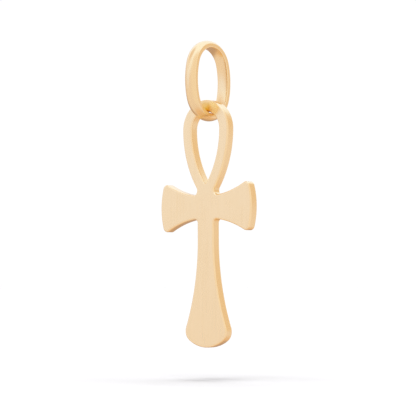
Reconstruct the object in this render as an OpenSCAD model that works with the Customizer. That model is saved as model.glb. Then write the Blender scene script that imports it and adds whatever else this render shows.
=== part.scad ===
// Ankh pendant: a flat gold cross whose upper arm is a loop, hung on an oval bail.
// X runs along the arms, Y from the front to the back and Z up, in millimetres.
// The origin is the chain seat, the highest point of the inside of the bail.

/* [Plate] */
// Thickness of the plate, from its front face to its back face
plate_t = 1.2; // [0.8:0.05:1.8]
// Radius in the corners under the arms, beside the stem
stem_fillet_r = 0.45; // [0.2:0.05:0.8]
// Radius in the corners above the arms, beside the loop
loop_fillet_r = 0.55; // [0.2:0.05:0.9]

/* [Stem] */
// Distance from the middle of the cross down to the foot
stem_reach = 17; // [14:0.5:22]
// Width of the straight upper length
stem_neck_w = 2.55; // [1.6:0.05:3.2]
// Distance from the middle of the cross down to where the stem starts to flare
stem_straight = 4; // [2.5:0.25:6]
// Width that the flared sides would reach at the foot if it weren't rounded
stem_flare_w = 8.4; // [6:0.1:10]
// Radius of the curved foot
stem_end_r = 4.7; // [4.2:0.1:7]
// Radius of the two corners of the foot
stem_corner_r = 1.4; // [0.6:0.1:1.8]

/* [Arms] */
// Distance from the middle of the cross out to the end of an arm
arm_reach = 7.15; // [5.5:0.05:9]
// Height of an arm at its root
arm_neck_w = 2.75; // [2:0.05:3.4]
// Distance from the middle of the cross out to where an arm starts to flare
arm_straight = 0.2; // [0:0.1:1]
// Height that the flared edges would reach at the end if it weren't rounded
arm_flare_w = 7.2; // [5.5:0.1:8.5]
// Radius of the curved end
arm_end_r = 9.1; // [6:0.1:14]
// Radius of the two corners of an arm's end
arm_corner_r = 0.6; // [0.3:0.05:1]

/* [Loop] */
// Height of the loop's top above the middle of the cross
loop_rise = 13.05; // [11:0.05:16]
// Width of the loop over its outside
loop_w = 7.15; // [6:0.05:8]
// Width of the strap that the loop is made of
loop_strap = 1.42; // [1:0.02:1.6]
// Height above the middle of the cross where the loop's outer sides would meet
loop_root = 0.55; // [0:0.05:1.2]
// Radius of the pointed lower end of the hole
loop_tip_r = 0.25; // [0.15:0.05:0.5]

/* [Bail] */
// Height of the bail over its outside
bail_h = 9.85; // [8.5:0.05:13]
// Depth of the bail over its outside, from front to back
bail_d = 7.4; // [7.2:0.05:8.5]
// Width of its band
bail_band = 1.7; // [1.2:0.05:2.2]
// Thickness of the band at its two edges
bail_edge_t = 0.44; // [0.34:0.02:0.8]
// How far the band's domed outside rises above its edges
bail_dome = 0.42; // [0.1:0.02:0.5]
// Radius of the oval's two narrow ends, over the outside
bail_end_r = 3.5; // [2.9:0.05:3.6]

/* [Fit] */
// Running gap where the loop hangs on the bail
hang_gap = 0.08; // [0.04:0.01:0.2]

/* [Hidden] */
gold = [0.94, 0.78, 0.52];
// Where arcs run into each other, the smaller one reaches this far past the other
blend = 0.0003;
// Sides that a full circle is drawn with, and a wide one
$fn = 240;
wide_r = 5;
wide_sides = 720;

// The loop has a round top, and each side is one long arc down to the root
top_r = loop_w / 2;
top_z = loop_rise - top_r;
side_r = ((top_z - loop_root) ^ 2 + top_r ^ 2) / loop_w;
side_x = side_r - top_r;

// The hollow arcs along the flared stem and arms
stem_side_r = flare_r(stem_reach - stem_straight, stem_flare_w - stem_neck_w);
arm_side_r = flare_r(arm_reach - arm_straight, arm_flare_w - arm_neck_w);

// The bail is an oval of four arcs: two round ends and two long sides
bail_t = bail_edge_t + bail_dome;
inner_half = bail_h / 2 - bail_t;
end_z = bail_h / 2 - bail_end_r;
long_r = (end_z ^ 2 + (bail_d / 2) ^ 2 - bail_end_r ^ 2) / (bail_d - 2 * bail_end_r);
long_y = long_r - bail_d / 2;
long_angle = atan2(end_z, long_y);
dome_r = ((bail_band / 2) ^ 2 + bail_dome ^ 2) / (2 * bail_dome);

// The round inside of the loop hangs on the edges of the bail's band, which rises
// under the plate's two faces. The loop swings about the middle of its round top.
seat_r = top_r - loop_strap;
cradle_r = bail_end_r - bail_t;
seat_drop = seat_r - sqrt(seat_r ^ 2 - (bail_band / 2) ^ 2);
cradle_rise = cradle_r - sqrt(cradle_r ^ 2 - (plate_t / 2) ^ 2);
swing_z = -2 * inner_half + cradle_rise + hang_gap + seat_drop - seat_r;
cross_z = swing_z - top_z;

// Radius of an arc that leaves a straight blade and widens it over a length
function flare_r(length, widening) =
    (length ^ 2 + (widening / 2) ^ 2) / widening;

// Where two circles cross, on the left of the way from the first to the second
function meet(a, a_r, b, b_r) =
    let (
        way = b - a,
        gap = norm(way),
        along = (a_r ^ 2 - b_r ^ 2 + gap ^ 2) / (2 * gap),
        aside = sqrt(a_r ^ 2 - along ^ 2)
    )
    a + (along * way + aside * [-way[1], way[0]]) / gap;

// The point at a distance from one point, towards another
function towards(from, to, distance) =
    from + distance * (to - from) / norm(to - from);

// The same point below the X axis, and on the other side of the Y axis
function below(point) = [point[0], -point[1]];
function across(point) = [-point[0], point[1]];

// A disc about a point
module disc(mid, r) {
    translate(mid) circle(r, $fn = r > wide_r ? wide_sides : $fn);
}

// A blade along +X from behind the middle of the cross: straight at first, then flared
// between two hollow arcs, with a curved end and two rounded corners
module blade(reach, straight, neck_w, hollow_r, end_r, corner_r) {
    hollow_mid = [straight, neck_w / 2 + hollow_r];
    end_mid = [reach - end_r, 0];
    corner_mid = meet(hollow_mid, hollow_r + corner_r, end_mid, end_r - corner_r);
    edge = towards(hollow_mid, corner_mid, hollow_r);
    beyond = towards(end_mid, corner_mid, 2 * end_r);
    upper = [corner_mid, edge, [straight, neck_w / 2], [-neck_w / 2, neck_w / 2]];
    difference() {
        polygon(concat(upper, [for (i = [3:-1:0]) below(upper[i])]));
        disc(hollow_mid, hollow_r);
        disc(below(hollow_mid), hollow_r);
    }
    disc(corner_mid, corner_r + blend);
    disc(below(corner_mid), corner_r + blend);
    intersection() {
        disc(end_mid, end_r);
        polygon([end_mid, below(beyond), beyond]);
    }
}

// A drop with its middle at its round top, whose two long sides meet below in a
// rounded point
module drop(round_r, long_side_r) {
    tip_mid = [0, -sqrt((long_side_r - loop_tip_r) ^ 2 - side_x ^ 2)];
    tip_edge = towards([-side_x, 0], tip_mid, long_side_r);
    circle(round_r + blend);
    disc(tip_mid, loop_tip_r + blend);
    intersection() {
        disc([side_x, 0], long_side_r);
        disc([-side_x, 0], long_side_r);
        translate([-2 * round_r, tip_edge[1]]) square([4 * round_r, -tip_edge[1]]);
    }
}

// Fills the same corner on both sides up to a circle. The circle touches the metal on
// its way to a point below and to a point above, and the filling reaches into the metal.
module fillets(mid, r, below_mid, above_mid) {
    low = towards(mid, below_mid, 2 * r);
    high = towards(mid, above_mid, 2 * r);
    difference() {
        polygon([low, mid, high, across(high), across(mid), across(low)]);
        disc(mid, r + blend);
        disc(across(mid), r + blend);
    }
}

// The corners between the stem's straight sides and the lower edges of the arms
module stem_fillets() {
    arm_mid = [arm_straight, -arm_neck_w / 2 - arm_side_r];
    x = stem_neck_w / 2 + stem_fillet_r;
    z = arm_mid[1] + sqrt((arm_side_r - stem_fillet_r) ^ 2 - (x - arm_mid[0]) ^ 2);
    fillets([x, z], stem_fillet_r, [0, z], 2 * [x, z] - arm_mid);
}

// The corners between the upper edges of the arms and the sides of the loop
module loop_fillets() {
    arm_mid = [arm_straight, arm_neck_w / 2 + arm_side_r];
    loop_mid = [-side_x, top_z];
    mid = meet(arm_mid, arm_side_r - loop_fillet_r, loop_mid, side_r + loop_fillet_r);
    fillets(mid, loop_fillet_r, 2 * mid - arm_mid, loop_mid);
}

// Outline of the whole cross, with its middle at the origin
module outline() {
    difference() {
        union() {
            rotate(-90)
                blade(stem_reach, stem_straight, stem_neck_w, stem_side_r, stem_end_r, stem_corner_r);
            for (turn = [0, 180])
                rotate(turn)
                    blade(arm_reach, arm_straight, arm_neck_w, arm_side_r, arm_end_r, arm_corner_r);
            translate([0, top_z]) drop(top_r, side_r);
            stem_fillets();
            loop_fillets();
        }
        translate([0, top_z]) drop(seat_r, side_r - loop_strap);
    }
}

// Half section of a disc with the bail's domed rim. A disc that is wider than the bail is
// deep becomes a ring, so that its middle doesn't reach out on the bail's other side.
module domed_section(r) {
    reach = min(r, bail_d / 2);
    intersection() {
        translate([r - reach, -bail_band / 2]) square([reach, bail_band]);
        union() {
            disc([r - dome_r, 0], dome_r);
            translate([0, -dome_r]) square([r - dome_r, 2 * dome_r]);
        }
    }
}

// The outside of the bail, filled in: a slice of a wide disc for each long side and a
// whole disc for each end
module bail_outside() {
    for (turn = [0, 180])
        rotate(turn)
            translate([-long_y, 0])
                rotate(-long_angle)
                    rotate_extrude(angle = 2 * long_angle, $fn = wide_sides) domed_section(long_r);
    for (end = [-end_z, end_z])
        translate([0, end])
            rotate_extrude() domed_section(bail_end_r + blend);
}

// Outline of the inside of the bail
module bail_inside() {
    r = long_r - bail_t;
    for (end = [-end_z, end_z]) disc([0, end], bail_end_r - bail_t + blend);
    intersection() {
        disc([long_y, 0], r);
        disc([-long_y, 0], r);
        square([bail_d, 2 * r * sin(long_angle)], center = true);
    }
}

// The oval bail, seen along its hole
module bail() {
    color(gold)
        translate([0, 0, -inner_half])
            rotate([90, 0, 90])
                difference() {
                    bail_outside();
                    linear_extrude(2 * bail_band, center = true) bail_inside();
                }
}

// The flat cross with its loop, in one piece
module ankh() {
    color(gold)
        translate([0, plate_t / 2, cross_z])
            rotate([90, 0, 0])
                linear_extrude(plate_t) outline();
}

bail();
ankh();
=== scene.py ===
import math

import bmesh
import bpy
from bpy.props import FloatProperty, FloatVectorProperty, IntProperty, PointerProperty
from bpy.types import Operator, Panel, PropertyGroup
from mathutils import Matrix, Vector


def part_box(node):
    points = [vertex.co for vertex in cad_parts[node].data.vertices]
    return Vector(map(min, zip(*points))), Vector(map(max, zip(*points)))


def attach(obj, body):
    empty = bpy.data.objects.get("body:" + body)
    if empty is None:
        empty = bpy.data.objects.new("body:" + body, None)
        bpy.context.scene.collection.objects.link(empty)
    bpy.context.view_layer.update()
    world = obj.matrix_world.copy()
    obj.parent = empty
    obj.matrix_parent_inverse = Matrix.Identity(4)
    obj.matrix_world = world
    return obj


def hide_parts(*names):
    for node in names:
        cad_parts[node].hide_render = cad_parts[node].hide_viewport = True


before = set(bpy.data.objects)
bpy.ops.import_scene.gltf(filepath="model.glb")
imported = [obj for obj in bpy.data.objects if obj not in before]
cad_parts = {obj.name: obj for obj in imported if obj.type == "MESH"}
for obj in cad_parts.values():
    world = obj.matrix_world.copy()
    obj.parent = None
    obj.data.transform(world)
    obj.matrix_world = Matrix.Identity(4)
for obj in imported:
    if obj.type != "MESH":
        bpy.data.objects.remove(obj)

bl_info = {
    "name": "Ankh Pendant",
    "version": (1, 0, 0),
    "blender": (4, 5, 0),
    "location": "3D View > Sidebar > Pendant",
    "description": "A polished gold ankh on an oval bail, with its studio",
    "category": "Object",
}

ANKH_LOW, ANKH_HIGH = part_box("ankh")
BAIL_LOW, BAIL_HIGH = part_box("bail")
PLATE_T = ANKH_HIGH.y - ANKH_LOW.y
LOOP_RISE = 0.01305
LOOP_STRAP = 0.00142
CROSS_Z = ANKH_HIGH.z - LOOP_RISE
BAIL_EDGE_T = 0.00044

# Where the loop hangs on the bail: this share of the strap's width below the loop's top
HANG_DEPTH = 0.8
HANG_POINT = (0.0, 0.0, ANKH_HIGH.z - HANG_DEPTH * LOOP_STRAP)

# Points closer than this are merged. The bail's last turn ends a little off its first.
SAME_POINT = 1e-7
SAME_BAIL_POINT = 2e-6

# Polishing lines for each metre along X, Y and Z: few along the way that the wheel ran
LINES_ALONG_Z = (3200.0, 3200.0, 110.0)
LINES_ROUND_BAIL = (3200.0, 130.0, 130.0)

# Noise values between which the lines, the scratches and the patches come in
LINES_COME_IN = (0.3, 0.7)
SCRATCHES_COME_IN = (0.66, 0.74)
PATCHES_COME_IN = (0.35, 0.65)

# Three directions of scratches, as turns of one pattern that is drawn out along Z
SCRATCH_TURNS = ((0.3, 0.5, 0.2), (1.9, 1.3, 0.8), (0.9, 2.4, 1.7))
SCRATCH_STRETCH = (1, 1, 0.05)

# How a point stands where rubbed edges and the painted shade of tight corners begin, and where
# they are full
EDGES_COME_IN = (0.62, 0.95)
CORNERS_COME_IN = (0.42, 0.15)

# Share of the rubbed edges and the painted corner shade, and of the painted shadow where the
# loop hangs, that is left between the patches
WEAR_AND_SHADE_BETWEEN = 0.6
SHADOW_BETWEEN = 0.7

# Kinds of input that a node group has
VECTOR = "NodeSocketVector"
NUMBER = "NodeSocketFloat"


def length(label, text, default):
    return FloatProperty(name=label, description=text, default=default, min=0.0,
                         precision=6, subtype="DISTANCE", unit="LENGTH")


def angle(label, text, default):
    return FloatProperty(name=label, description=text, default=math.radians(default),
                         subtype="ANGLE", unit="ROTATION")


def colour(label, text, default):
    return FloatVectorProperty(name=label, description=text, default=default, size=3,
                               min=0.0, max=1.0, subtype="COLOR")


def light_colour(label, text, default):
    return FloatVectorProperty(name=label, description=text, default=default, size=3,
                               min=0.0, soft_max=2.0, subtype="COLOR")


def factor(label, text, default):
    return FloatProperty(name=label, description=text, default=default, min=0.0,
                         max=1.0, subtype="FACTOR")


def number(label, text, default):
    return FloatProperty(name=label, description=text, default=default, min=0.0)


class CrossSettings(PropertyGroup):
    """Sizes of the flat cross and its loop."""
    plate_t: length("Thickness", "Thickness of the plate", PLATE_T)
    edge_r: length("Edge Radius", "Rounding of the plate's edges", 0.0002)
    stem_reach: length("Stem Reach", "From the middle down to the foot", CROSS_Z - ANKH_LOW.z)
    stem_neck_w: length("Stem Neck", "Width of the straight part of the stem", 0.00255)
    stem_straight: length("Stem Straight", "From the middle to where the flare starts", 0.004)
    stem_flare_w: length("Stem Flare", "Width that the flare aims at", 0.0084)
    stem_end_r: length("Foot Radius", "Radius of the curved foot", 0.0047)
    stem_corner_r: length("Foot Corners", "Radius of the foot's corners", 0.0014)
    stem_fillet_r: length("Lower Fillets", "Radius in the corners under the arms", 0.00045)
    arm_reach: length("Arm Reach", "From the middle out to an arm's end", ANKH_HIGH.x)
    arm_neck_w: length("Arm Neck", "Height of an arm at its root", 0.00275)
    arm_straight: length("Arm Straight", "From the middle to where the flare starts", 0.0002)
    arm_flare_w: length("Arm Flare", "Height that the flare aims at", 0.0072)
    arm_end_r: length("Arm End Radius", "Radius of an arm's curved end", 0.0091)
    arm_corner_r: length("Arm Corners", "Radius of an arm's corners", 0.0006)
    loop_fillet_r: length("Upper Fillets", "Radius in the corners above the arms", 0.00055)
    loop_rise: length("Loop Rise", "From the middle up to the loop's top", LOOP_RISE)
    loop_w: length("Loop Width", "Width of the loop over its outside", 0.00715)
    loop_strap: length("Loop Strap", "Width of the loop's strap", LOOP_STRAP)
    loop_root: length("Loop Root", "Height where the loop's sides would meet", 0.00055)
    loop_tip_r: length("Loop Tip", "Radius of the hole's lower end", 0.00025)


class BailSettings(PropertyGroup):
    """Sizes of the oval bail."""
    height: length("Height", "Height over the outside", BAIL_HIGH.z - BAIL_LOW.z)
    depth: length("Depth", "Depth over the outside, from front to back",
                  BAIL_HIGH.y - BAIL_LOW.y)
    band: length("Band", "Width of the band", BAIL_HIGH.x - BAIL_LOW.x)
    edge_t: length("Edge Thickness", "Thickness of the band at its edges", BAIL_EDGE_T)
    dome: length("Dome", "How far the outside rises between the edges",
                 BAIL_HIGH.z - BAIL_EDGE_T)
    inner_dome: length("Inner Dome", "How far the inside rises between the edges", 0.00012)
    end_r: length("End Radius", "Radius of the narrow ends", 0.0035)
    edge_r: length("Edge Radius", "Rounding of the band's edges", 0.00012)


class GoldSettings(PropertyGroup):
    """Colour and finish of the polished gold."""
    polished: colour("Polished", "Colour of the polished metal", (0.965, 0.785, 0.455))
    drawn: colour("Drawn", "Colour along the polishing lines", (0.955, 0.775, 0.445))
    burnished: colour("Burnished", "Colour of the rubbed edges", (1.0, 0.84, 0.52))
    # Painted shade in the tight corners
    corner_shade: colour("Corner Shade", "Colour in the tight corners", (0.9, 0.66, 0.3))
    # Painted shadow where the loop hangs on the bail; its strong orange is a painted
    # reflection of gold in gold
    dirt: colour("Shadow", "Colour of the dirt where the loop hangs", (0.85, 0.48, 0.04))
    shadow_core: length("Dirt Core", "How far out the dirt is thick", 0.0008)
    shadow_reach: length("Dirt Reach", "How far out the dirt is gone", 0.0014)
    roughness: factor("Roughness", "Roughness where the polish is best", 0.2)
    hazy: factor("Hazy Roughness", "Roughness where the gold is handled", 0.24)
    scratched: factor("Scratched", "Roughness that the scratches add", 0.06)
    sharp_r: length("Sharp Radius", "Rounding that counts as a sharp edge", 0.0002)
    cross_lines: length("Cross Lines", "Depth of the polishing lines on the cross", 0.00000015)
    bail_lines: length("Bail Lines", "Depth of the polishing lines on the bail", 0.0000008)
    scratch_depth: length("Scratch Depth", "Depth of the scratches", 0.0000002)
    scratch_number: number("Scratch Number", "Scratches for each metre across", 2600.0)
    patch_number: number("Patch Number", "Handled patches for each metre", 700.0)


class StageSettings(PropertyGroup):
    """The studio round the pendant."""
    floor_gap: length("Floor Gap", "From the foot down to the floor", 0.0039)
    floor_size: length("Floor Size", "Side of the square floor", 6.0)
    floor_colour: light_colour("Floor", "Colour of the floor", (0.16, 0.16, 0.16))
    floor_patches: light_colour("Floor Patches", "Colour of the floor's patches",
                             (0.158, 0.158, 0.158))
    room: light_colour("Room", "Light from all round", (0.899, 0.772, 0.751))
    warm_side: light_colour("Warm Side", "Light from behind the right side",
                            (0.835, 0.729, 0.712))
    front_panel: light_colour("Front Panel", "Light from the left of the front",
                              (0.943, 0.939, 1.151))
    overhead: light_colour("Overhead", "Light from above", (1.052, 1.115, 1.338))
    ground: light_colour("Ground", "Light from below", (0.86, 0.585, 0.396))
    low_back: light_colour("Low Back", "Light from low behind the left side",
                           (0.56, 0.39, 0.31))
    high_left: light_colour("High Left", "Light from high on the left side",
                            (0.886, 0.716, 0.652))
    high_back: light_colour("High Back", "Light from high behind the right side",
                            (0.859, 0.657, 0.485))
    right_side: light_colour("Right Side", "Light from the right side",
                             (0.938, 0.825, 0.778))
    backdrop: light_colour("Backdrop", "What is seen behind the pendant",
                           (1.02, 1.02, 1.02))
    lamp_spread: angle("Lamp Spread", "How wide the overhead lamp looks from the floor", 62.0)
    lamp_light: number("Lamp Light", "Light that the overhead lamp gives", 17.5)
    patch_number: number("Patch Number", "Patches of the floor's paint for each metre", 120.0)
    azimuth: angle("Azimuth", "Turn of the camera about the pendant", 40.0)
    elevation: angle("Elevation", "Height of the camera's view", -2.431)
    roll: angle("Roll", "Turn of the picture", -0.139)
    pixel: length("Pixel", "Size of one pixel at the middle of the cross", 0.0001214)
    nearest: length("Nearest", "Closest distance that the camera sees", 0.01)
    lens_pixels: FloatProperty(name="Lens", description="Focal length in pixels",
                               default=1759.7, min=1.0)
    picture: IntProperty(name="Picture", description="Side of the square picture in pixels",
                         default=416, min=1, subtype="PIXEL")
    cross_shown: FloatVectorProperty(
        name="Cross Shown", description="Pixel that shows the middle of the cross",
        default=(208.264, 207.215), size=2)


def settings(name):
    return getattr(bpy.context.scene, name)


def towards(start, end, distance):
    """The point at a distance from one point, towards another."""
    return start + (end - start).normalized() * distance


def meet(a, a_r, b, b_r):
    """Where two circles in the plate's plane cross, on the left of the way to b."""
    way = b - a
    gap = way.length
    along = (a_r ** 2 - b_r ** 2 + gap ** 2) / (2 * gap)
    aside = math.sqrt(a_r ** 2 - along ** 2)
    return a + (along * way + aside * Vector((-way.z, 0, way.x))) / gap


def flare_radius(reach, widening):
    """Radius of an arc that leaves a straight blade and widens it over a length."""
    return (reach ** 2 + (widening / 2) ** 2) / widening


def arch_radius(width, rise):
    """Radius of an arc that spans a width and rises between its ends."""
    return ((width / 2) ** 2 + rise ** 2) / (2 * rise)


def arc(bm, vert, centre, end, coarse=math.radians(2.5), longest=0.00025):
    """Spins the last point of a line about a centre as far as the point end."""
    a = vert.co - centre
    b = end - centre
    turn = math.atan2(a.x * b.z - a.z * b.x, a.x * b.x + a.z * b.z)
    steps = max(2, math.ceil(abs(turn) / coarse), math.ceil(abs(turn) * b.length / longest))
    spun = bmesh.ops.spin(bm, geom=[vert], cent=centre, axis=(0, -1, 0), angle=turn,
                          steps=steps, use_merge=False)
    last = next(item for item in spun["geom_last"] if isinstance(item, bmesh.types.BMVert))
    last.co = end
    return last


def line(bm, vert, end):
    """Draws a straight line from the last point."""
    last = bmesh.ops.extrude_vert_indiv(bm, verts=[vert])["verts"][0]
    last.co = end
    return last


def round_edges(bm, radius, segments=5, hold=0.2, bent=math.radians(35)):
    """Rounds the edges that are bent this far, and holds the flats with a narrow border."""
    sharp = [edge for edge in bm.edges if edge.calc_face_angle(0) > bent]
    rounded = bmesh.ops.bevel(bm, geom=sharp, offset=radius, offset_type="OFFSET",
                              affect="EDGES", segments=segments, profile=0.5,
                              material=-1, clamp_overlap=False, loop_slide=True)
    flats = [face for face in bm.faces if face not in set(rounded["faces"])]
    bmesh.ops.inset_region(bm, faces=flats, thickness=radius * hold, use_even_offset=True,
                           use_boundary=True)


def mark_convexity(bm, sharp_r):
    """Stores how each point stands: 1 on a sharp edge, a half on a flat, 0 in a corner."""
    layer = bm.verts.layers.float.new("convexity")
    for vert in bm.verts:
        bend = sum(edge.calc_face_angle_signed(0) * edge.calc_length()
                   for edge in vert.link_edges)
        area = sum(face.calc_area() / len(face.verts) for face in vert.link_faces)
        vert[layer] = min(1.0, max(0.0, 0.5 + sharp_r * bend / (4 * area)))


def make_piece(bm, name, node, body, material):
    """Makes an object from the mesh, puts it on its body and hides its CAD node."""
    bmesh.ops.recalc_face_normals(bm, faces=bm.faces[:])
    for face in bm.faces:
        face.smooth = True
    mark_convexity(bm, settings("pendant_gold").sharp_r)
    mesh = bpy.data.meshes.new(name)
    bm.to_mesh(mesh)
    bm.free()
    mesh.materials.append(material)
    piece = bpy.data.objects.new(name, mesh)
    bpy.context.scene.collection.objects.link(piece)
    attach(piece, body)
    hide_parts(node)


def cross_outline(bm, s):
    """Draws the right half of the outline and of the loop's hole round one face."""
    def at(x, z):
        return Vector((x, 0, z + CROSS_Z))

    top_r = s.loop_w / 2
    top_z = s.loop_rise - top_r
    side_r = ((top_z - s.loop_root) ** 2 + top_r ** 2) / s.loop_w
    side_x = side_r - top_r
    stem_side_r = flare_radius(s.stem_reach - s.stem_straight, s.stem_flare_w - s.stem_neck_w)
    arm_side_r = flare_radius(s.arm_reach - s.arm_straight, s.arm_flare_w - s.arm_neck_w)

    round_mid = at(0, top_z)
    side_mid = at(-side_x, top_z)
    above_mid = at(s.arm_straight, s.arm_neck_w / 2 + arm_side_r)
    below_mid = at(s.arm_straight, -s.arm_neck_w / 2 - arm_side_r)
    end_mid = at(s.arm_reach - s.arm_end_r, 0)
    stem_mid = at(s.stem_neck_w / 2 + stem_side_r, -s.stem_straight)
    foot_mid = at(0, s.stem_end_r - s.stem_reach)

    loop_fillet = meet(above_mid, arm_side_r - s.loop_fillet_r,
                       side_mid, side_r + s.loop_fillet_r)
    arm_corner = meet(above_mid, arm_side_r + s.arm_corner_r,
                      end_mid, s.arm_end_r - s.arm_corner_r)
    low_corner = meet(end_mid, s.arm_end_r - s.arm_corner_r,
                      below_mid, arm_side_r + s.arm_corner_r)
    x = s.stem_neck_w / 2 + s.stem_fillet_r
    drop = math.sqrt((arm_side_r - s.stem_fillet_r) ** 2 - (x - s.arm_straight) ** 2)
    stem_fillet = Vector((x, 0, below_mid.z + drop))
    foot_corner = meet(stem_mid, stem_side_r + s.stem_corner_r,
                       foot_mid, s.stem_end_r - s.stem_corner_r)

    start = bm.verts.new(round_mid + Vector((0, 0, top_r)))
    vert = arc(bm, start, round_mid, round_mid + Vector((top_r, 0, 0)))
    vert = arc(bm, vert, side_mid, towards(side_mid, loop_fillet, side_r))
    vert = arc(bm, vert, loop_fillet, towards(above_mid, loop_fillet, arm_side_r))
    vert = arc(bm, vert, above_mid, towards(above_mid, arm_corner, arm_side_r))
    vert = arc(bm, vert, arm_corner, towards(end_mid, arm_corner, s.arm_end_r))
    vert = arc(bm, vert, end_mid, towards(end_mid, low_corner, s.arm_end_r))
    vert = arc(bm, vert, low_corner, towards(below_mid, low_corner, arm_side_r))
    vert = arc(bm, vert, below_mid, towards(below_mid, stem_fillet, arm_side_r))
    vert = arc(bm, vert, stem_fillet, stem_fillet - Vector((s.stem_fillet_r, 0, 0)))
    vert = line(bm, vert, stem_mid - Vector((stem_side_r, 0, 0)))
    vert = arc(bm, vert, stem_mid, towards(stem_mid, foot_corner, stem_side_r))
    vert = arc(bm, vert, foot_corner, towards(foot_mid, foot_corner, s.stem_end_r))
    foot = arc(bm, vert, foot_mid, foot_mid - Vector((0, 0, s.stem_end_r)))

    hole_r = side_r - s.loop_strap
    tip_drop = math.sqrt((hole_r - s.loop_tip_r) ** 2 - side_x ** 2)
    tip_mid = at(0, top_z - tip_drop)
    hole_top = line(bm, start, round_mid + Vector((0, 0, top_r - s.loop_strap)))
    vert = arc(bm, hole_top, round_mid, round_mid + Vector((top_r - s.loop_strap, 0, 0)))
    vert = arc(bm, vert, side_mid, towards(side_mid, tip_mid, hole_r))
    tip = arc(bm, vert, tip_mid, tip_mid - Vector((0, 0, s.loop_tip_r)))
    bm.edges.new((tip, foot))
    bmesh.ops.contextual_create(bm, geom=bm.edges[:])


class PENDANT_OT_ankh(Operator):
    """Makes the flat cross and its loop in one piece"""
    bl_idname = "pendant.ankh"
    bl_label = "Ankh"

    def execute(self, context):
        s = settings("pendant_cross")
        bm = bmesh.new()
        cross_outline(bm, s)
        bmesh.ops.mirror(bm, geom=bm.verts[:] + bm.edges[:] + bm.faces[:], axis="X",
                         merge_dist=SAME_POINT)
        bmesh.ops.remove_doubles(bm, verts=bm.verts[:], dist=SAME_POINT)
        bmesh.ops.translate(bm, verts=bm.verts[:], vec=(0, -s.plate_t / 2, 0))
        grown = bmesh.ops.extrude_face_region(bm, geom=bm.faces[:], use_keep_orig=True)
        back = [item for item in grown["geom"] if isinstance(item, bmesh.types.BMVert)]
        bmesh.ops.translate(bm, verts=back, vec=(0, s.plate_t, 0))
        bmesh.ops.recalc_face_normals(bm, faces=bm.faces[:])
        round_edges(bm, s.edge_r)
        depth = settings("pendant_gold").cross_lines
        make_piece(bm, "ankh_gold", "ankh", "ankh", gold("cross gold", LINES_ALONG_Z, depth))
        return {"FINISHED"}


def bail_section(bm, s, top, dome_r, fine=math.radians(15)):
    """Draws the closed section of the band at the top of the bail, its edges in fine steps."""
    inner_r = arch_radius(s.band, s.inner_dome)
    dome_mid = Vector((0, 0, top - dome_r))
    inner_mid = Vector((0, 0, top - s.dome - s.edge_t - s.inner_dome + inner_r))
    aside = s.band / 2 - s.edge_r
    rise = math.sqrt((dome_r - s.edge_r) ** 2 - aside ** 2)
    drop = math.sqrt((inner_r - s.edge_r) ** 2 - aside ** 2)

    upper = Vector((aside, 0, dome_mid.z + rise))
    lower = Vector((aside, 0, inner_mid.z - drop))
    right = Vector((s.edge_r, 0, 0))

    def across(point):
        return Vector((-point.x, 0, point.z))

    start = bm.verts.new(across(towards(dome_mid, upper, dome_r)))
    vert = arc(bm, start, dome_mid, towards(dome_mid, upper, dome_r))
    vert = arc(bm, vert, upper, upper + right, fine)
    vert = line(bm, vert, lower + right)
    vert = arc(bm, vert, lower, towards(inner_mid, lower, inner_r), fine)
    vert = arc(bm, vert, inner_mid, across(towards(inner_mid, lower, inner_r)))
    vert = arc(bm, vert, across(lower), across(lower + right), fine)
    vert = line(bm, vert, across(upper + right))
    vert = arc(bm, vert, across(upper), start.co.copy(), fine)
    bmesh.ops.remove_doubles(bm, verts=bm.verts[:], dist=SAME_POINT)


class PENDANT_OT_bail(Operator):
    """Makes the oval bail from its domed section"""
    bl_idname = "pendant.bail"
    bl_label = "Bail"

    def execute(self, context):
        s = settings("pendant_bail")
        middle = (BAIL_LOW + BAIL_HIGH) / 2
        half = s.height / 2
        end_z = half - s.end_r
        long_r = (end_z ** 2 + (s.depth / 2) ** 2 - s.end_r ** 2) / (s.depth - 2 * s.end_r)
        long_y = long_r - s.depth / 2
        long_turn = 2 * math.atan2(end_z, long_y)
        coarse, longest = math.radians(3), 0.0002

        bm = bmesh.new()
        bail_section(bm, s, middle.z + half, arch_radius(s.band, s.dome))

        # Middle, turn and radius of each arc, from the top round to the top again
        turns = (
            ((0, end_z), (math.pi - long_turn) / 2, s.end_r),
            ((-long_y, 0), long_turn, long_r),
            ((0, -end_z), math.pi - long_turn, s.end_r),
            ((long_y, 0), long_turn, long_r),
            ((0, end_z), (math.pi - long_turn) / 2, s.end_r),
        )
        section = bm.verts[:] + bm.edges[:]
        for (y, z), turn, radius in turns:
            steps = math.ceil(max(turn / coarse, turn * radius / longest))
            spun = bmesh.ops.spin(bm, geom=section, cent=(0, y, middle.z + z), axis=(-1, 0, 0),
                                  angle=turn, steps=steps, use_merge=False)
            section = spun["geom_last"]
        bmesh.ops.remove_doubles(bm, verts=bm.verts[:], dist=SAME_BAIL_POINT)
        depth = settings("pendant_gold").bail_lines
        make_piece(bm, "bail_gold", "bail", "bail", gold("bail gold", LINES_ROUND_BAIL, depth))
        return {"FINISHED"}


def add_node(tree, kind, values=None, **options):
    """Adds a node, sets its options and fills its inputs with values or links."""
    node = tree.nodes.new("ShaderNode" + kind)
    for name, value in options.items():
        setattr(node, name, value)
    for name, value in (values or {}).items():
        if isinstance(value, bpy.types.NodeSocket):
            tree.links.new(value, node.inputs[name])
        else:
            node.inputs[name].default_value = value
    return node


def new_group(name, inputs, outputs):
    """Starts a shader node group with its named inputs and outputs."""
    tree = bpy.data.node_groups.new(name, "ShaderNodeTree")
    for label, kind in inputs.items():
        tree.interface.new_socket(label, in_out="INPUT", socket_type=kind)
    for label in outputs:
        tree.interface.new_socket(label, in_out="OUTPUT", socket_type=NUMBER)
    given = tree.nodes.new("NodeGroupInput").outputs
    return tree, given, tree.nodes.new("NodeGroupOutput").inputs


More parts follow.
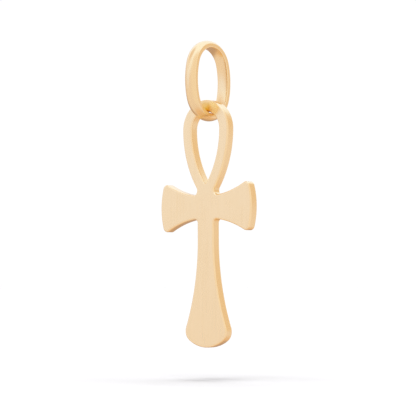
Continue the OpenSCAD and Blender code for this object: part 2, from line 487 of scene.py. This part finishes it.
def spread(tree, value, low, high, to_low=0.0, to_high=1.0):
    """Spreads the values from low to high smoothly over another range."""
    return add_node(tree, "MapRange", {"Value": value, "From Min": low, "From Max": high,
                                       "To Min": to_low, "To Max": to_high},
                    interpolation_type="SMOOTHSTEP").outputs["Result"]


def mix(tree, factor, below, above):
    """Mixes two colours, with all of the second where the factor is 1."""
    return add_node(tree, "Mix", {"Factor": factor, "A": below, "B": above},
                    data_type="RGBA").outputs["Result"]


def polishing_lines():
    """Fine lines left by the polishing wheel, close together across Run and long along it."""
    name = "polishing lines"
    if name in bpy.data.node_groups:
        return bpy.data.node_groups[name]
    tree, given, out = new_group(name, {"Place": VECTOR, "Run": VECTOR}, ("Lines",))
    run = add_node(tree, "VectorMath", {0: given["Place"], 1: given["Run"]},
                   operation="MULTIPLY").outputs["Vector"]
    lines = add_node(tree, "TexNoise", {"Vector": run, "Scale": 1.0, "Detail": 1.0,
                                        "Roughness": 0.5}).outputs["Fac"]
    tree.links.new(spread(tree, lines, *LINES_COME_IN), out["Lines"])
    return tree


def hairline_scratches():
    """Short scratches from use that cross each other in three directions."""
    name = "hairline scratches"
    if name in bpy.data.node_groups:
        return bpy.data.node_groups[name]
    tree, given, out = new_group(name, {"Place": VECTOR, "Number": NUMBER}, ("Scratches",))
    marks = None
    for turn in SCRATCH_TURNS:
        turned = add_node(tree, "Mapping", {"Vector": given["Place"], "Rotation": turn,
                                            "Scale": SCRATCH_STRETCH}).outputs["Vector"]
        noise = add_node(tree, "TexNoise", {"Vector": turned, "Scale": given["Number"],
                                            "Detail": 0.0}).outputs["Fac"]
        found = spread(tree, noise, *SCRATCHES_COME_IN)
        if marks:
            found = add_node(tree, "Math", {0: marks, 1: found},
                             operation="MAXIMUM").outputs["Value"]
        marks = found
    tree.links.new(marks, out["Scratches"])
    return tree


def soft_patches():
    """Broad soft patches, where metal is handled more or paint lies a little thicker."""
    name = "soft patches"
    if name in bpy.data.node_groups:
        return bpy.data.node_groups[name]
    tree, given, out = new_group(name, {"Place": VECTOR, "Number": NUMBER}, ("Patches",))
    noise = add_node(tree, "TexNoise", {"Vector": given["Place"], "Scale": given["Number"],
                                        "Detail": 4.0, "Roughness": 0.6}).outputs["Fac"]
    tree.links.new(spread(tree, noise, *PATCHES_COME_IN), out["Patches"])
    return tree


def edges_and_corners():
    """Masks of the rubbed edges and of the painted shade in the tight corners."""
    name = "edges and corners"
    if name in bpy.data.node_groups:
        return bpy.data.node_groups[name]
    tree, given, out = new_group(name, {"Convexity": NUMBER, "Patches": NUMBER},
                                 ("Edges", "Corners"))
    uneven = spread(tree, given["Patches"], 0.0, 1.0, WEAR_AND_SHADE_BETWEEN, 1.0)
    for label, come_in in (("Edges", EDGES_COME_IN), ("Corners", CORNERS_COME_IN)):
        mask = spread(tree, given["Convexity"], *come_in)
        faded = add_node(tree, "Math", {0: mask, 1: uneven}, operation="MULTIPLY")
        tree.links.new(faded.outputs["Value"], out[label])
    return tree


def hanging_shadow():
    """Mask of the painted shadow where the loop hangs on the bail, thick to Core and gone at
    Reach.
    """
    name = "hanging dirt"
    if name in bpy.data.node_groups:
        return bpy.data.node_groups[name]
    tree, given, out = new_group(name, {"Place": VECTOR, "Patches": NUMBER, "Core": NUMBER,
                                        "Reach": NUMBER}, ("Shadow",))
    away = add_node(tree, "VectorMath", {0: given["Place"], 1: HANG_POINT},
                    operation="DISTANCE").outputs["Value"]
    thick = spread(tree, away, given["Reach"], given["Core"])
    uneven = spread(tree, given["Patches"], 0.0, 1.0, SHADOW_BETWEEN, 1.0)
    dirt = add_node(tree, "Math", {0: thick, 1: uneven}, operation="MULTIPLY")
    tree.links.new(dirt.outputs["Value"], out["Shadow"])
    return tree


def place_group(tree, group, values):
    """Places a node group in a material with its own values."""
    return add_node(tree, "Group", node_tree=group, values=values).outputs


def gold(name, run, line_depth):
    """Polished gold with fine lines, hairline scratches, handled patches, rubbed edges,
    painted shade in the tight corners and a painted shadow where the loop hangs.
    """
    s = settings("pendant_gold")
    material = bpy.data.materials.new(name)
    material.use_nodes = True
    tree = material.node_tree
    shader = tree.nodes["Principled BSDF"]
    place = add_node(tree, "TexCoord").outputs["Object"]
    convexity = add_node(tree, "Attribute", attribute_name="convexity").outputs["Fac"]

    lines = place_group(tree, polishing_lines(), {"Place": place, "Run": run})["Lines"]
    scratches = place_group(tree, hairline_scratches(),
                            {"Place": place, "Number": s.scratch_number})["Scratches"]
    patches = place_group(tree, soft_patches(),
                          {"Place": place, "Number": s.patch_number})["Patches"]
    wear_and_shade = place_group(tree, edges_and_corners(), {"Convexity": convexity, "Patches": patches})
    dirt = place_group(tree, hanging_shadow(),
                       {"Place": place, "Patches": patches, "Core": s.shadow_core,
                        "Reach": s.shadow_reach})["Shadow"]

    colour = mix(tree, lines, (*s.polished, 1), (*s.drawn, 1))
    colour = mix(tree, wear_and_shade["Edges"], colour, (*s.burnished, 1))
    # Painted shade in the tight corners
    colour = mix(tree, wear_and_shade["Corners"], colour, (*s.corner_shade, 1))
    # Painted shadow where the loop hangs, its strong orange a painted reflection of gold in
    # gold
    colour = mix(tree, dirt, colour, (*s.dirt, 1))
    tree.links.new(colour, shader.inputs["Base Color"])

    haze = spread(tree, patches, 0.0, 1.0, s.roughness, s.hazy)
    rough = add_node(tree, "Math", {0: scratches, 1: s.scratched, 2: haze},
                     operation="MULTIPLY_ADD").outputs["Value"]
    tree.links.new(rough, shader.inputs["Roughness"])

    drawn = add_node(tree, "Bump", {"Height": lines, "Distance": line_depth})
    drawn = add_node(tree, "Bump", {"Height": scratches, "Distance": s.scratch_depth,
                                    "Normal": drawn.outputs["Normal"]}, invert=True)
    tree.links.new(drawn.outputs["Normal"], shader.inputs["Normal"])
    shader.inputs["Metallic"].default_value = 1.0
    return material


def floor_paint(s):
    """Matt paint, a little uneven."""
    paint = bpy.data.materials.new("matt floor")
    paint.use_nodes = True
    tree = paint.node_tree
    shader = tree.nodes["Principled BSDF"]
    place = add_node(tree, "TexCoord").outputs["Object"]
    patches = place_group(tree, soft_patches(),
                          {"Place": place, "Number": s.patch_number})["Patches"]
    colour = mix(tree, patches, (*s.floor_colour, 1), (*s.floor_patches, 1))
    tree.links.new(colour, shader.inputs["Base Color"])
    shader.inputs["Roughness"].default_value = 1.0
    shader.inputs["Specular IOR Level"].default_value = 0.0
    return paint


# Soft lights round the pendant: azimuth from the front towards the right side, elevation, how
# far from its middle each light is full, and how far it reaches, in degrees
PANELS = {
    "warm_side": (90, 22, 14, 51),
    "front_panel": (-45, 20, 8, 32),
    "overhead": (0, 90, 52, 83),
    "ground": (174, -74, 23, 55),
    "low_back": (-130, -22, 21, 46),
    "high_left": (-57, 45, 7, 32),
    "high_back": (128, 30, 12, 38),
    "right_side": (50, 6, 32, 64),
}


def studio_world(s):
    """The light from the room and its soft lights, and a white backdrop behind the pendant."""
    world = bpy.data.worlds.new("studio")
    world.use_nodes = True
    tree = world.node_tree
    way = add_node(tree, "TexCoord").outputs["Generated"]

    light = (*s.room, 1)
    for name, (azimuth, elevation, full, reach) in PANELS.items():
        side, rise = math.radians(azimuth), math.radians(elevation)
        flat = math.cos(rise)
        middle = (math.sin(side) * flat, -math.cos(side) * flat, math.sin(rise))
        near = add_node(tree, "VectorMath", {0: way, 1: middle},
                        operation="DOT_PRODUCT").outputs["Value"]
        share = spread(tree, near, math.cos(math.radians(reach)), math.cos(math.radians(full)))
        light = mix(tree, share, light, (*getattr(s, name), 1))
    path = add_node(tree, "LightPath")
    seen = mix(tree, path.outputs["Is Camera Ray"], light, (*s.backdrop, 1))
    tree.links.new(seen, tree.nodes["Background"].inputs["Color"])
    return world


class PENDANT_OT_stage(Operator):
    """Makes the floor, the light and the camera"""
    bl_idname = "pendant.stage"
    bl_label = "Studio"

    def execute(self, context):
        s = settings("pendant_stage")
        scene = context.scene
        floor_z = ANKH_LOW.z - s.floor_gap

        bm = bmesh.new()
        bmesh.ops.create_grid(bm, x_segments=1, y_segments=1, size=s.floor_size / 2)
        bmesh.ops.translate(bm, verts=bm.verts[:], vec=(0, 0, floor_z))
        mesh = bpy.data.meshes.new("floor")
        bm.to_mesh(mesh)
        bm.free()
        floor = bpy.data.objects.new("floor", mesh)
        scene.collection.objects.link(floor)
        mesh.materials.append(floor_paint(s))
        floor.visible_glossy = False

        lamp = bpy.data.lights.new("overhead", "SUN")
        lamp.angle = s.lamp_spread
        lamp.energy = s.lamp_light
        overhead = bpy.data.objects.new("overhead", lamp)
        overhead.visible_glossy = False
        scene.collection.objects.link(overhead)

        scene.world = studio_world(s)
        scene.view_settings.view_transform = "Standard"

        data = bpy.data.cameras.new("camera")
        data.lens = s.lens_pixels / s.picture * data.sensor_width
        data.clip_start = s.nearest
        camera = bpy.data.objects.new("camera", data)
        turned = (Matrix.Rotation(s.azimuth, 3, "Z")
                  @ Matrix.Rotation(math.pi / 2 - s.elevation, 3, "X")
                  @ Matrix.Rotation(s.roll, 3, "Z"))
        centre = s.picture / 2
        across, down = s.cross_shown
        aside = Vector((across - centre, centre - down, -s.lens_pixels)) * s.pixel
        location = Vector((0, 0, CROSS_Z)) - turned @ aside
        camera.matrix_world = Matrix.Translation(location) @ turned.to_4x4()
        scene.collection.objects.link(camera)
        scene.camera = camera
        return {"FINISHED"}


class PENDANT_PT_panel(Panel):
    """Lists the pendant's pieces"""
    bl_idname = "PENDANT_PT_panel"
    bl_label = "Pendant"
    bl_space_type = "VIEW_3D"
    bl_region_type = "UI"
    bl_category = "Pendant"

    def draw(self, context):
        for operator in OPERATORS:
            self.layout.operator(operator.bl_idname)


GROUPS = {
    "pendant_cross": CrossSettings,
    "pendant_bail": BailSettings,
    "pendant_gold": GoldSettings,
    "pendant_stage": StageSettings,
}
OPERATORS = (PENDANT_OT_ankh, PENDANT_OT_bail, PENDANT_OT_stage)


def register():
    for cls in (*GROUPS.values(), *OPERATORS, PENDANT_PT_panel):
        bpy.utils.register_class(cls)
    for name, cls in GROUPS.items():
        setattr(bpy.types.Scene, name, PointerProperty(type=cls))


def unregister():
    for name in GROUPS:
        delattr(bpy.types.Scene, name)
    for cls in reversed((*GROUPS.values(), *OPERATORS, PENDANT_PT_panel)):
        bpy.utils.unregister_class(cls)


def main():
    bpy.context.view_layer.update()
    register()
    bpy.ops.pendant.ankh()
    bpy.ops.pendant.bail()
    bpy.ops.pendant.stage()


if __name__ == "__main__":
    main()
